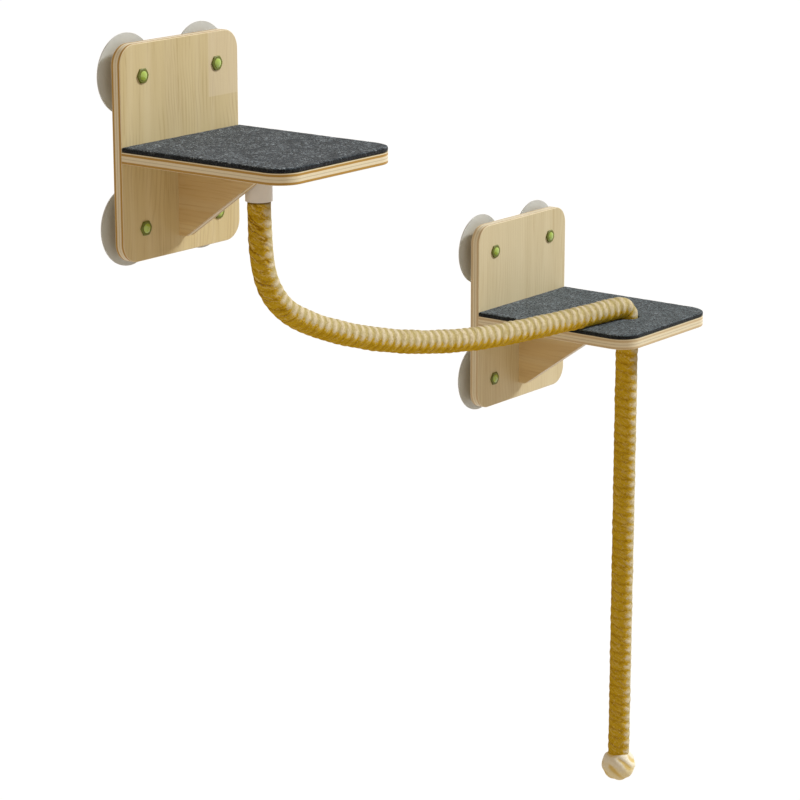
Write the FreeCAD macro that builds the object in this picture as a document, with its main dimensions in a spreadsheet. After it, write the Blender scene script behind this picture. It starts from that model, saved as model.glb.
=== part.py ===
import FreeCAD, Part
import math
import os
import re

import Sketcher

# Cat climbing wall: two felt-topped plywood shelves held to a window by suction cups, and one
# wrapped rope that bridges from the upper shelf to the lower one, goes down through it and hangs.
# Millimetres, +Z up. The origin is the centre of the upper shelf's four suction cups, on the
# window's surface. +X runs along the window towards the lower shelf, and the room is at -Y.

Vector = FreeCAD.Vector
UP = Vector(0, 0, 1)

# Driving dimensions
SIZES = {
    # boards
    "ply": 16.5,
    "edge_round": 1.5,
    "plate_width": 250.0,
    "plate_height": 308.0,
    "plate_corner": 29.0,
    "shelf_depth": 293.0,
    "shelf_corner": 36.0,
    "shelf_top": 6.1,
    "felt": 7.5,
    "felt_round": 1.5,
    "gusset_height": 119.0,
    "gusset_depth": 178.0,
    "gusset_toe": 13.0,
    # from the upper shelf to the lower one
    "unit_step": 846.5,
    "unit_drop": 390.0,
    # suction cups, their studs and nuts
    "cup_gap": 16.5,
    "cup_span_x": 157.0,
    "cup_span_z": 216.0,
    "cup_diameter": 115.0,
    "cup_rim": 1.6,
    "cup_lip": 8.5,
    "cup_cavity": 3.6,
    "cup_dome_radius": 110.0,
    "cup_neck_diameter": 32.0,
    "cup_neck_length": 6.0,
    "stud_diameter": 13.5,
    "stud_clearance": 0.3,
    "stud_head_diameter": 22.0,
    "stud_head": 3.0,
    "stud_tip": 0.3,
    "nut_across_flats": 20.0,
    "nut_height": 2.4,
    "nut_chamfer": 0.5,
    # wood screws
    "screw_diameter": 4.0,
    "screw_length": 40.0,
    "screw_head_diameter": 8.0,
    "screw_head": 2.4,
    "screw_clearance": 0.1,
    "shelf_screw_span": 170.0,
    "gusset_screw_high": 35.0,
    "gusset_screw_low": 90.0,
    "top_screw_near": 55.0,
    "top_screw_far": 115.0,
    "seat_gap": 0.05,
    # rope socket under the upper shelf
    "socket_side": 30.0,
    "socket_depth": 117.5,
    "socket_diameter": 39.0,
    "socket_length": 61.0,
    "socket_bore": 26.0,
    "rope_fit": 0.4,
    # rope: a core with a strand wound round it
    "rope_diameter": 35.0,
    "strand_diameter": 11.5,
    "wrap_pitch": 14.0,
    "wrap_gap": 0.6,
    "wrap_setback": 8.5,
    "wrap_lead_bend": 12.0,
    "hinge_gap": 0.3,
    "top_hinge_drop": 36.0,
    "shelf_run": 145.0,
    # where the rope lies on the lower shelf and goes through it
    "rope_hole_depth": 210.0,
    "rope_hole_clearance": 1.0,
    "felt_hole_clearance": 5.5,
    "lie_gap": 0.3,
    "fold_radius": 22.0,
    "fold_below": 3.0,
    # hanging end
    "link_length": 76.5,
    "tail_upper_length": 315.0,
    "tail_lower_length": 356.5,
    "ball_diameter": 57.0,
    "ball_bore_below": 2.0,
}

# The bridge's route: distance along it and drop, both from the socket's mouth.
ROUTE_FROM_SOCKET = [
    (0, 66.5),
    (13, 124.5),
    (46, 167.5),
    (112, 202.5),
    (214, 237.5),
    (330, 264.5),
    (462, 281.5),
]
# The rest of it: distance before the hole and height over the rope's lie on the felt.
ROUTE_TO_HOLE = [(230, 1.2), (130, 0)]
BRIDGE_WRAPS = 9
QUARTER_TURNS = 4

# Distances from the window into the room, and heights from the cups' centre
FRONT = "(cup_gap + ply)"
UNDER = "(shelf_top - ply)"
SIDES = ("-", "")
UNITS = {"upper": ("0", "0"), "lower": ("unit_step", "-unit_drop")}

TOWARDS_ROOM = FreeCAD.Rotation(Vector(1, 0, 0), 90)
DOWNWARDS = FreeCAD.Rotation(Vector(1, 0, 0), 180)
UPRIGHT = FreeCAD.Rotation()

doc = FreeCAD.newDocument("cat_climbing_wall")
sheet = doc.addObject("Spreadsheet::Sheet", "sizes")
for row, (alias, size) in enumerate(SIZES.items(), 1):
    sheet.set(f"A{row}", alias)
    sheet.set(f"B{row}", str(size))
    sheet.setAlias(f"B{row}", alias)
doc.recompute()

ALIASES = re.compile(r"\b(" + "|".join(SIZES) + r")\b")
nodes = []


def in_sheet(formula):
    """A formula of size names as an expression on the sheet."""
    return ALIASES.sub(r"sizes.\1", formula)


def number(formula):
    """The value of a formula of size names."""
    return float(sheet.evalExpression(in_sheet(formula)))


def tie(obj, prop, formula):
    obj.setExpression(prop, in_sheet(formula))


def put(obj, x, y, z, turn=UPRIGHT):
    """Places an object by three formulas and a fixed turn."""
    obj.Placement = FreeCAD.Placement(Vector(), turn)
    for axis, formula in zip("xyz", (x, y, z)):
        tie(obj, f"Placement.Base.{axis}", formula)
    return obj


def node(obj, label):
    obj.Label = label
    nodes.append(obj)
    return obj


# Sketches and bodies


def new_body(label):
    return node(doc.addObject("PartDesign::Body", label), label)


def new_sketch(body, role, offset="0"):
    sketch = body.newObject("Sketcher::SketchObject", f"{body.Label}_sketch")
    plane = next(o for o in body.Origin.OriginFeatures if o.Role == role)
    sketch.AttachmentSupport = [(plane, "")]
    sketch.MapMode = "FlatFace"
    tie(sketch, "AttachmentOffset.Base.z", offset)
    return sketch


def pin_point(sketch, shape, end, x, y):
    """Fixes one point of a sketch shape by formulas, measured from the sketch's origin."""
    for kind, formula, axis in (("DistanceX", x, -2), ("DistanceY", y, -1)):
        if formula == "0":
            sketch.addConstraint(Sketcher.Constraint("PointOnObject", shape, end, axis))
            continue
        place = sketch.addConstraint(Sketcher.Constraint(kind, -1, 1, shape, end, number(formula)))
        tie(sketch, f"Constraints[{place}]", formula)


def arc_between(start, end, radius, side):
    """The short arc of that radius between two points, and whether it runs anticlockwise."""
    chord = end - start
    middle = (start + end) * 0.5
    across = Vector(-chord.y, chord.x, 0).normalize() * side
    centre = middle - across * math.sqrt(radius**2 - chord.Length**2 / 4)
    angles = [math.atan2(p.y - centre.y, p.x - centre.x) for p in (start, end)]
    anticlockwise = side < 0
    first, last = angles if anticlockwise else reversed(angles)
    if last < first:
        last += 2 * math.pi
    return Part.ArcOfCircle(Part.Circle(centre, UP, radius), first, last), anticlockwise


def draw_outline(sketch, corners):
    """A closed outline. A corner is (x, y), or (x, y, radius, side) where an arc leads to it,
    which bulges to the left of its travel for side 1 and to the right for side -1."""
    points = [Vector(number(c[0]), number(c[1]), 0) for c in corners]
    starts, ends = [], []
    for i, corner in enumerate(corners):
        before = points[i - 1]
        if len(corner) == 2:
            shape = sketch.addGeometry(Part.LineSegment(before, points[i]))
            forward = True
        else:
            arc, forward = arc_between(before, points[i], number(corner[2]), corner[3])
            shape = sketch.addGeometry(arc)
            place = sketch.addConstraint(Sketcher.Constraint("Radius", shape, number(corner[2])))
            tie(sketch, f"Constraints[{place}]", corner[2])
        starts.append((shape, 1 if forward else 2))
        ends.append((shape, 2 if forward else 1))
    for i, corner in enumerate(corners):
        following = starts[(i + 1) % len(corners)]
        sketch.addConstraint(Sketcher.Constraint("Coincident", *ends[i], *following))
        pin_point(sketch, *ends[i], corner[0], corner[1])


def draw_holes(sketch, holes):
    """Round holes, each (x, y, radius)."""
    for x, y, radius in holes:
        circle = Part.Circle(Vector(number(x), number(y), 0), UP, number(radius))
        shape = sketch.addGeometry(circle)
        pin_point(sketch, shape, 3, x, y)
        place = sketch.addConstraint(Sketcher.Constraint("Radius", shape, number(radius)))
        tie(sketch, f"Constraints[{place}]", radius)


def board(label, role, offset, thickness, corners, holes=()):
    """A flat board: an outline with round holes, padded to its thickness."""
    body = new_body(label)
    sketch = new_sketch(body, role, offset)
    draw_outline(sketch, corners)
    draw_holes(sketch, holes)
    pad = body.newObject("PartDesign::Pad", f"{label}_pad")
    pad.Profile = sketch
    tie(pad, "Length", thickness)
    doc.recompute()
    return body


def turned(label, role, corners):
    """A body of revolution about its sketch's upright axis."""
    body = new_body(label)
    sketch = new_sketch(body, role)
    draw_outline(sketch, corners)
    revolution = body.newObject("PartDesign::Revolution", f"{label}_turn")
    revolution.Profile = sketch
    revolution.ReferenceAxis = (sketch, ["V_Axis"])
    revolution.Angle = 360
    doc.recompute()
    return body


def round_edges(body, radius, wanted):
    """A fillet along the edges that the test picks."""
    base = body.Tip
    fillet = body.newObject("PartDesign::Fillet", f"{body.Label}_round")
    picked = [f"Edge{i}" for i, edge in enumerate(base.Shape.Edges, 1) if wanted(edge)]
    fillet.Base = (base, picked)
    tie(fillet, "Radius", radius)
    doc.recompute()


def ends_of(edge):
    """An open edge's two end points, or none for a full circle."""
    return [v.Point for v in edge.Vertexes] if len(edge.Vertexes) == 2 else []


def runs_along(edge, direction):
    points = ends_of(edge)
    return bool(points) and (points[1] - points[0]).cross(direction).Length < 1e-6


def lies_at(edge, axis, value):
    """Whether both ends of an open edge have that coordinate."""
    points = ends_of(edge)
    return bool(points) and all(abs(getattr(p, axis) - value) < 1e-6 for p in points)


def drill(body, x, y, z, turn, radius, depth):
    hole = body.newObject("PartDesign::SubtractiveCylinder", f"{body.Label}_drill")
    tie(hole, "Radius", radius)
    tie(hole, "Height", depth)
    put(hole, x, y, z, turn)
    doc.recompute()


def countersink(body, x, y, z, turn):
    """A conical seat for a screw head, flush with the face at that point."""
    seat = body.newObject("PartDesign::SubtractiveCone", f"{body.Label}_countersink")
    tie(seat, "Radius1", "screw_head_diameter / 2 + seat_gap")
    tie(seat, "Radius2", "screw_diameter / 2 + seat_gap")
    tie(seat, "Height", "screw_head")
    put(seat, x, y, z, turn)
    doc.recompute()


def group(label, parts):
    """Identical fasteners as one node of separate solids."""
    compound = doc.addObject("Part::Compound", label)
    compound.Links = parts
    return node(compound, label)


# Places that several pieces share


def cup_places():
    return [(f"{side_x}cup_span_x / 2", f"{side_z}cup_span_z / 2") for side_z in SIDES for side_x in SIDES]


def plate_screw_places():
    """Where screws go through the plate: three into the shelf's edge, two into the gusset."""
    middle = "shelf_top - ply / 2"
    shelf = [(x, middle) for x in ("-shelf_screw_span / 2", "0", "shelf_screw_span / 2")]
    gusset = [("0", f"{UNDER} - {drop}") for drop in ("gusset_screw_high", "gusset_screw_low")]
    return shelf, gusset


def top_screw_places():
    """Where screws go down through the shelf into the gusset."""
    return [("0", f"-({FRONT} + {reach})") for reach in ("top_screw_near", "top_screw_far")]


SCREW_HOLE = "screw_diameter / 2 + screw_clearance"
PILOT_HOLE = "screw_diameter / 2 + seat_gap"
SCREW_BITE = "screw_length - ply"
SOCKET_PLACE = ("socket_side", f"-({FRONT} + socket_depth)")
ROPE_HOLE_PLACE = ("0", f"-({FRONT} + rope_hole_depth)")


# One shelf unit


def back_plate(name):
    shelf_screws, gusset_screws = plate_screw_places()
    screws = shelf_screws + gusset_screws
    half_width, half_height = "plate_width / 2", "plate_height / 2"
    corners = [
        (f"-{half_width}", f"-{half_height}"),
        (half_width, f"-{half_height}"),
        (half_width, half_height),
        (f"-{half_width}", half_height),
    ]
    holes = [(x, z, "stud_diameter / 2 + stud_clearance") for x, z in cup_places()]
    holes += [(x, z, SCREW_HOLE) for x, z in screws]
    plate = board(f"{name}_back_plate", "XZ_Plane", "cup_gap", "ply", corners, holes)
    side = number(half_width)

    def at_corner(edge):
        return runs_along(edge, Vector(0, 1, 0)) and abs(abs(edge.Vertexes[0].X) - side) < 1e-6

    round_edges(plate, "plate_corner", at_corner)
    faces = [-number("cup_gap"), -number(FRONT)]
    round_edges(plate, "edge_round", lambda e: any(lies_at(e, "y", face) for face in faces))
    for x, z in screws:
        countersink(plate, x, "-cup_gap", z, TOWARDS_ROOM)
    return plate


def shelf_outline():
    half_width, far = "plate_width / 2", f"-({FRONT} + shelf_depth)"
    return [
        (f"-{half_width}", f"-{FRONT}"),
        (f"-{half_width}", far),
        (half_width, far),
        (half_width, f"-{FRONT}"),
    ]


def round_shelf_corners(body):
    far = -number(f"{FRONT} + shelf_depth")
    round_edges(body, "shelf_corner", lambda e: runs_along(e, UP) and abs(e.Vertexes[0].Y - far) < 1e-6)


def round_shelf_rim(body, radius, height):
    """Eases the free rim at one height, leaving the edge against the plate sharp."""
    wall = -number(FRONT)
    level = number(height)
    round_edges(body, radius, lambda e: lies_at(e, "z", level) and not lies_at(e, "y", wall))


def shelf_board(name):
    holes = [(x, y, SCREW_HOLE) for x, y in top_screw_places()]
    sinks = top_screw_places()
    if name == "upper":
        holes.append((*SOCKET_PLACE, SCREW_HOLE))
        sinks.append(SOCKET_PLACE)
    else:
        holes.append((*ROPE_HOLE_PLACE, "rope_diameter / 2 + rope_hole_clearance"))
    shelf = board(f"{name}_shelf_board", "XY_Plane", UNDER, "ply", shelf_outline(), holes)
    round_shelf_corners(shelf)
    round_shelf_rim(shelf, "edge_round", UNDER)
    for x, y in sinks:
        countersink(shelf, x, y, "shelf_top", DOWNWARDS)
    for x, z in plate_screw_places()[0]:
        drill(shelf, x, f"-{FRONT}", z, TOWARDS_ROOM, PILOT_HOLE, SCREW_BITE)
    return shelf


def felt_pad(name):
    holes = []
    if name == "lower":
        holes.append((*ROPE_HOLE_PLACE, "rope_diameter / 2 + felt_hole_clearance"))
    felt = board(f"{name}_felt_pad", "XY_Plane", "shelf_top", "felt", shelf_outline(), holes)
    round_shelf_corners(felt)
    round_shelf_rim(felt, "felt_round", "shelf_top + felt")
    return felt


def gusset(name):
    low = f"{UNDER} - gusset_height"
    corners = [
        (f"-{FRONT}", UNDER),
        (f"-{FRONT}", low),
        (f"-({FRONT} + gusset_toe)", low),
        (f"-({FRONT} + gusset_depth)", UNDER),
    ]
    body = board(f"{name}_gusset", "YZ_Plane", "-ply / 2", "ply", corners)
    for x, z in plate_screw_places()[1]:
        drill(body, x, f"-{FRONT}", z, TOWARDS_ROOM, PILOT_HOLE, SCREW_BITE)
    for x, y in top_screw_places():
        drill(body, x, y, UNDER, DOWNWARDS, PILOT_HOLE, SCREW_BITE)
    return body


def suction_cup(label):
    """A soft cup with a sealing lip on the window, and a neck that holds the stud's head."""
    rim, lip = "cup_diameter / 2", "(cup_diameter / 2 - cup_lip)"
    neck, bore = "cup_neck_diameter / 2", "stud_diameter / 2"
    head_top = "(cup_gap - cup_neck_length)"
    head_low = f"({head_top} - stud_head)"
    corners = [
        ("0", "-cup_cavity"),
        (lip, "0", f"({lip} ^ 2 + cup_cavity ^ 2) / (2 * cup_cavity)", -1),
        (rim, "0"),
        (rim, "-cup_rim"),
        (neck, "-(cup_gap - cup_neck_length)", "cup_dome_radius", -1),
        (neck, "-cup_gap"),
        (bore, "-cup_gap"),
        (bore, f"-{head_top}"),
        ("stud_head_diameter / 2", f"-{head_top}"),
        ("stud_head_diameter / 2", f"-{head_low}"),
        ("0", f"-{head_low}"),
    ]
    return turned(label, "XY_Plane", corners)


def stud(name, i, x, y, z):
    """A stud with its head in the cup's neck and its low domed tip just proud of the nut."""
    parts = []
    lengths = {"head": "stud_head", "shank": "cup_neck_length + ply + nut_height + stud_tip"}
    radii = {"head": "stud_head_diameter / 2", "shank": "stud_diameter / 2"}
    starts = {"head": "(cup_gap - cup_neck_length - stud_head)", "shank": "(cup_gap - cup_neck_length)"}
    for kind, length in lengths.items():
        part = doc.addObject("Part::Cylinder", f"{name}_stud_{kind}_{i}")
        tie(part, "Radius", radii[kind])
        tie(part, "Height", length)
        parts.append(put(part, x, f"{y} - {starts[kind]}", z, TOWARDS_ROOM))
    tip = doc.addObject("Part::Sphere", f"{name}_stud_tip_{i}")
    tie(tip, "Radius", "stud_diameter")
    tip.Angle1 = 60
    dome_centre = f"{FRONT} + nut_height + stud_tip - stud_diameter * sqrt(3) / 2"
    parts.append(put(tip, x, f"{y} - ({dome_centre})", z, TOWARDS_ROOM))
    fused = doc.addObject("Part::MultiFuse", f"{name}_stud_{i}")
    fused.Shapes = parts
    return fused


def hex_nut(name, i, x, y, z):
    """A hexagon nut on the plate's front, with its outer corners turned off."""
    blank = doc.addObject("Part::Prism", f"{name}_nut_blank_{i}")
    blank.Polygon = 6
    tie(blank, "Circumradius", "nut_across_flats / sqrt(3)")
    tie(blank, "Height", "nut_height")
    put(blank, x, f"{y} - {FRONT}", z, TOWARDS_ROOM)
    cone = doc.addObject("Part::Cone", f"{name}_nut_cone_{i}")
    tie(cone, "Radius1", "nut_across_flats / 2 - nut_chamfer + nut_height * sqrt(3)")
    tie(cone, "Radius2", "nut_across_flats / 2 - nut_chamfer")
    tie(cone, "Height", "nut_height")
    put(cone, x, f"{y} - {FRONT}", z, TOWARDS_ROOM)
    shaped = doc.addObject("Part::MultiCommon", f"{name}_nut_shape_{i}")
    shaped.Shapes = [blank, cone]
    bore = doc.addObject("Part::Cylinder", f"{name}_nut_bore_{i}")
    tie(bore, "Radius", "stud_diameter / 2 + seat_gap")
    tie(bore, "Height", "nut_height")
    put(bore, x, f"{y} - {FRONT}", z, TOWARDS_ROOM)
    nut = doc.addObject("Part::Cut", f"{name}_nut_{i}")
    nut.Base = shaped
    nut.Tool = bore
    return nut


def wood_screw(label, x, y, z, turn):
    """A countersunk screw whose head is flush at that point and whose shank runs along the turn."""
    head = doc.addObject("Part::Cone", f"{label}_head")
    tie(head, "Radius1", "screw_head_diameter / 2")
    tie(head, "Radius2", "screw_diameter / 2")
    tie(head, "Height", "screw_head")
    shank = doc.addObject("Part::Cylinder", f"{label}_shank")
    tie(shank, "Radius", "screw_diameter / 2")
    tie(shank, "Height", "screw_length")
    screw = doc.addObject("Part::Fuse", label)
    screw.Base = put(head, x, y, z, turn)
    screw.Tool = put(shank, x, y, z, turn)
    return screw


def shelf_unit(name):
    """One shelf with its plate, gusset, felt, cups and fasteners."""
    step, rise = UNITS[name]
    for body in (back_plate(name), shelf_board(name), felt_pad(name), gusset(name)):
        put(body, step, "0", rise)
    studs, nuts, screws = [], [], []
    for i, (x, z) in enumerate(cup_places(), 1):
        place = (f"{step} + {x}", "0", f"{rise} + {z}")
        put(suction_cup(f"{name}_suction_cup_{i}"), *place)
        studs.append(stud(name, i, *place))
        nuts.append(hex_nut(name, i, *place))
    shelf_screws, gusset_screws = plate_screw_places()
    for i, (x, z) in enumerate(shelf_screws + gusset_screws, 1):
        place = (f"{step} + {x}", "-cup_gap", f"{rise} + {z}")
        screws.append(wood_screw(f"{name}_plate_screw_{i}", *place, TOWARDS_ROOM))
    for i, (x, y) in enumerate(top_screw_places(), 1):
        place = (f"{step} + {x}", y, f"{rise} + shelf_top")
        screws.append(wood_screw(f"{name}_top_screw_{i}", *place, DOWNWARDS))
    group(f"{name}_cup_studs", studs)
    group(f"{name}_hex_nuts", nuts)
    group(f"{name}_wood_screws", screws)


def rope_socket():
    """A moulded cup under the upper shelf that takes the rope's end, and its screw."""
    outer, bore = "socket_diameter / 2", "(rope_diameter / 2 + rope_fit)"
    ceiling = "-(socket_length - socket_bore)"
    corners = [
        ("0", f"-({SCREW_BITE})"),
        (PILOT_HOLE, f"-({SCREW_BITE})"),
        (PILOT_HOLE, "0"),
        (outer, "0"),
        (outer, "-socket_length"),
        (bore, "-socket_length"),
        (bore, ceiling),
        ("0", ceiling),
    ]
    x, y = SOCKET_PLACE
    put(turned("rope_socket", "XZ_Plane", corners), x, y, UNDER)
    node(wood_screw("rope_socket_screw", x, y, "shelf_top", DOWNWARDS), "rope_socket_screw")


# The rope's route


def rounded_path(points):
    """Straight runs joined by tangent arcs, each as large as its two runs allow."""
    edges, radii = [], []
    here = points[0]
    for before, corner, after in zip(points, points[1:], points[2:]):
        back, ahead = before - corner, after - corner
        reach = 0.45 * min(back.Length, ahead.Length)
        turn = math.pi - back.getAngle(ahead)
        radius = reach / math.tan(turn / 2)
        first = corner + back.normalize() * reach
        last = corner + ahead.normalize() * reach
        inward = (back + ahead).normalize()
        middle = corner + inward * (radius / math.cos(turn / 2) - radius)
        edges.append(Part.LineSegment(here, first).toShape())
        edges.append(Part.Arc(first, middle, last).toShape())
        radii.append(radius)
        here = last
    edges.append(Part.LineSegment(here, points[-1]).toShape())
    return edges, radii


def length_of(edges):
    return sum(edge.Length for edge in edges)


def along(edges, distance):
    """The point and direction at a distance along a path."""
    for edge in edges[:-1]:
        if distance <= edge.Length:
            break
        distance -= edge.Length
    else:
        edge = edges[-1]
    place = edge.getParameterByLength(min(max(distance, 0.0), edge.Length))
    return edge.valueAt(place), edge.tangentAt(place)


def stretch(edges, start, end):
    """The part of a path between two distances along it."""
    pieces = []
    for edge in edges:
        first, last = max(start, 0.0), min(end, edge.Length)
        if last - first > 1e-6:
            places = [edge.getParameterByLength(d) for d in (first, last)]
            pieces.append(edge.Curve.toShape(*places))
        start -= edge.Length
        end -= edge.Length
    return pieces


def tube(edges, radius):
    """A round solid along a path."""
    point, direction = along(edges, 0.0)
    section = Part.Wire([Part.Circle(point, direction, radius).toShape()])
    return Part.Wire(edges).makePipeShell([section], True, False)


def rope_feature(label, shape):
    feature = doc.addObject("Part::Feature", label)
    feature.Shape = shape
    return node(feature, label)


def report_tube(label, shape, edges, radius):
    expected = math.pi * radius**2 * length_of(edges)
    share = shape.Volume / expected
    print(f"{label}: length {length_of(edges):.1f}, volume over section times length {share:.4f}")


# The strand wound round the rope's core


def biarc(start, start_way, end, end_way):
    """Two tangent arcs from one point and direction to another, or one line."""
    chord = end - start
    if chord.cross(start_way).Length + chord.cross(end_way).Length < 1e-6:
        return [Part.LineSegment(start, end).toShape()]
    ways = start_way + end_way
    lean = 2 * (1 - start_way.dot(end_way))
    reach = (math.sqrt(chord.dot(ways) ** 2 + lean * chord.dot(chord)) - chord.dot(ways)) / lean
    joint = (start + end + (start_way - end_way) * reach) * 0.5
    return [arc_from(start, start_way, joint), arc_from(end, end_way * -1, joint, reverse=True)]


def arc_from(start, way, end, reverse=False):
    """The arc that leaves a point in a direction and reaches another point."""
    chord = end - start
    axis = Vector(chord).normalize()
    half_turn = way.getAngle(chord)
    aside = (way - axis * way.dot(axis)).normalize()
    middle = (start + end) * 0.5 + aside * (chord.Length / 2 * math.tan(half_turn / 2))
    if reverse:
        return Part.Arc(end, middle, start).toShape()
    return Part.Arc(start, middle, end).toShape()


def lead_in(bend_radius, wrap_radius, straight, slope):
    """How a strand leaves what it meets: straight for its own diameter, then bent into its turns.
    Gives steps of (distance along, turn round, their rates)."""
    steps = [(0.0, 0.0, 1.0, 0.0)]
    full_bend = math.pi / 2 - slope
    bends = 3
    for i in range(bends + 1):
        bent = full_bend * i / bends
        distance = straight + bend_radius * math.sin(bent)
        turned_by = bend_radius * (1 - math.cos(bent)) / wrap_radius
        steps.append((distance, turned_by, math.cos(bent), math.sin(bent) / wrap_radius))
    return steps


def quarter_count(length, odd=0):
    """How many quarter turns come nearest the pitch over a length, an even or an odd number."""
    return 2 * round((QUARTER_TURNS * length / number("wrap_pitch") - odd) / 2) + odd


def strand_steps(start, end, quarters, first_turn, lead_start, lead_end):
    """Steps of a wound strand between two distances along the rope. A strand that starts with a lead
    ends at the angle where one without would start."""
    wrap_radius = number("(rope_diameter - strand_diameter) / 2")
    straight, bend_radius = number("strand_diameter"), number("wrap_lead_bend")
    slope = math.atan2(number("wrap_pitch"), 2 * math.pi * wrap_radius)
    lead = lead_in(bend_radius, wrap_radius, straight, slope)
    reach, swing = lead[-1][0], lead[-1][1]
    spin = -2 * math.pi / QUARTER_TURNS
    steps = []
    start_turns = start + reach if lead_start else start
    end_turns = end - reach if lead_end else end
    quarters = quarters or quarter_count(end_turns - start_turns)
    turn = first_turn - spin * quarters if lead_start else first_turn
    if lead_start:
        steps = [(start + d, turn + swing - t, rate, -twist) for d, t, rate, twist in lead[:-1]]
    start, end = start_turns, end_turns
    rise = (end - start) / quarters
    for i in range(quarters + 1):
        steps.append((start + rise * i, turn + spin * i, rise, spin))
    if lead_end:
        turn += spin * quarters
        for d, t, rate, twist in reversed(lead[:-1]):
            steps.append((end + reach - d, turn - swing + t, rate, -twist))
    return steps, quarters / QUARTER_TURNS


def strand_edges(path, steps, side):
    """The strand's centreline as biarcs, on a path in the plane square to side."""
    wrap_radius = number("(rope_diameter - strand_diameter) / 2")

    def place(distance, turn):
        point, way = along(path, distance)
        outward = side.cross(way)
        return point + (outward * math.cos(turn) + side * math.sin(turn)) * wrap_radius

    def direction(distance, turn, rate, spin):
        small = 1e-4 / math.hypot(rate, spin * wrap_radius)
        ahead = place(distance + rate * small, turn + spin * small)
        behind = place(distance - rate * small, turn - spin * small)
        return (ahead - behind).normalize()

    points = [place(d, t) for d, t, _, _ in steps]
    ways = [direction(*step) for step in steps]
    edges = []
    for i in range(len(points) - 1):
        edges += biarc(points[i], ways[i], points[i + 1], ways[i + 1])
    return edges


def least_gaps(edges, path, diameter):
    """The least gap of the strand to itself, and its least distance from the rope's middle."""
    spacing = 1.5
    points = Part.Wire(edges).discretize(Distance=spacing)
    turn_points = int(math.pi * number("rope_diameter - strand_diameter") / spacing)
    nearest = min(
        (points[i].distanceToPoint(points[j]), i)
        for i in range(len(points))
        for j in range(i + turn_points // 2, min(i + 2 * turn_points, len(points)))
    )[0]
    middle = Part.Wire(path)
    inner = min(middle.distToShape(Part.Vertex(p))[0] for p in points[:: turn_points // 9])
    return nearest - diameter, inner


def wrap(label, path, start, end, side, quarters=None, first_turn=0.0, lead_start=False, lead_end=False):
    """One unbroken strand wound round a stretch of the rope."""
    steps, turns = strand_steps(start, end, quarters, first_turn, lead_start, lead_end)
    edges = strand_edges(path, steps, side)
    diameter = number("strand_diameter")
    shape = tube(edges, diameter / 2)
    gap, inner = least_gaps(edges, path, diameter)
    tightest = min(edge.Curve.Radius for edge in edges if hasattr(edge.Curve, "Radius"))
    report_tube(label, shape, edges, diameter / 2)
    inside = inner - diameter / 2
    print(f"{label}: {turns:g} turns, least gap {gap:.2f}, inside at {inside:.2f}, tightest {tightest:.1f}")
    rope_feature(label, shape)
    return steps[-1][1]


def half_ball(centre, direction, radius):
    return Part.makeSphere(radius, centre, direction, 0, 90, 360)


def bent_core(label, path, start, end, ball_start, ball_end):
    """The rope's core along a bent stretch, with a half ball at an end that turns on a hinge."""
    radius = core_radius()
    edges = stretch(path, start, end)
    shape = tube(edges, radius)
    report_tube(label, shape, edges, radius)
    if ball_start:
        point, way = along(path, start)
        shape = shape.fuse(half_ball(point, way * -1, radius))
    if ball_end:
        point, way = along(path, end)
        shape = shape.fuse(half_ball(point, way, radius))
    return rope_feature(label, shape)


def core_radius():
    return number(CORE_RADIUS)


CORE_RADIUS = "(rope_diameter / 2 - strand_diameter - wrap_gap)"
HINGE_REACH = f"({CORE_RADIUS} + hinge_gap)"
HOLE = ("unit_step", f"-({FRONT} + rope_hole_depth)")
FOLD_END = f"({UNDER} - unit_drop - fold_below)"
LINK_HINGE = f"({FOLD_END} - {HINGE_REACH})"
TAIL_HINGE = f"({LINK_HINGE} - link_length)"
BEND_HINGE = f"({TAIL_HINGE} - tail_upper_length)"
BALL_CENTRE = f"({BEND_HINGE} - tail_lower_length)"
ROPE_END = f"({BALL_CENTRE} - ball_bore_below)"
LIE = "(shelf_top + felt - unit_drop + rope_diameter / 2 + lie_gap)"


def straight_core(label, top, bottom):
    """The rope's core down a straight stretch, with a half ball at its hinge."""
    column = doc.addObject("Part::Cylinder", f"{label}_column")
    tie(column, "Radius", CORE_RADIUS)
    tie(column, "Height", f"{top} - {bottom}")
    cap = doc.addObject("Part::Sphere", f"{label}_cap")
    tie(cap, "Radius", CORE_RADIUS)
    cap.Angle1 = 0
    fused = doc.addObject("Part::Fuse", label)
    fused.Base = put(column, *HOLE, bottom)
    fused.Tool = put(cap, *HOLE, top)
    return node(fused, label)


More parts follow.
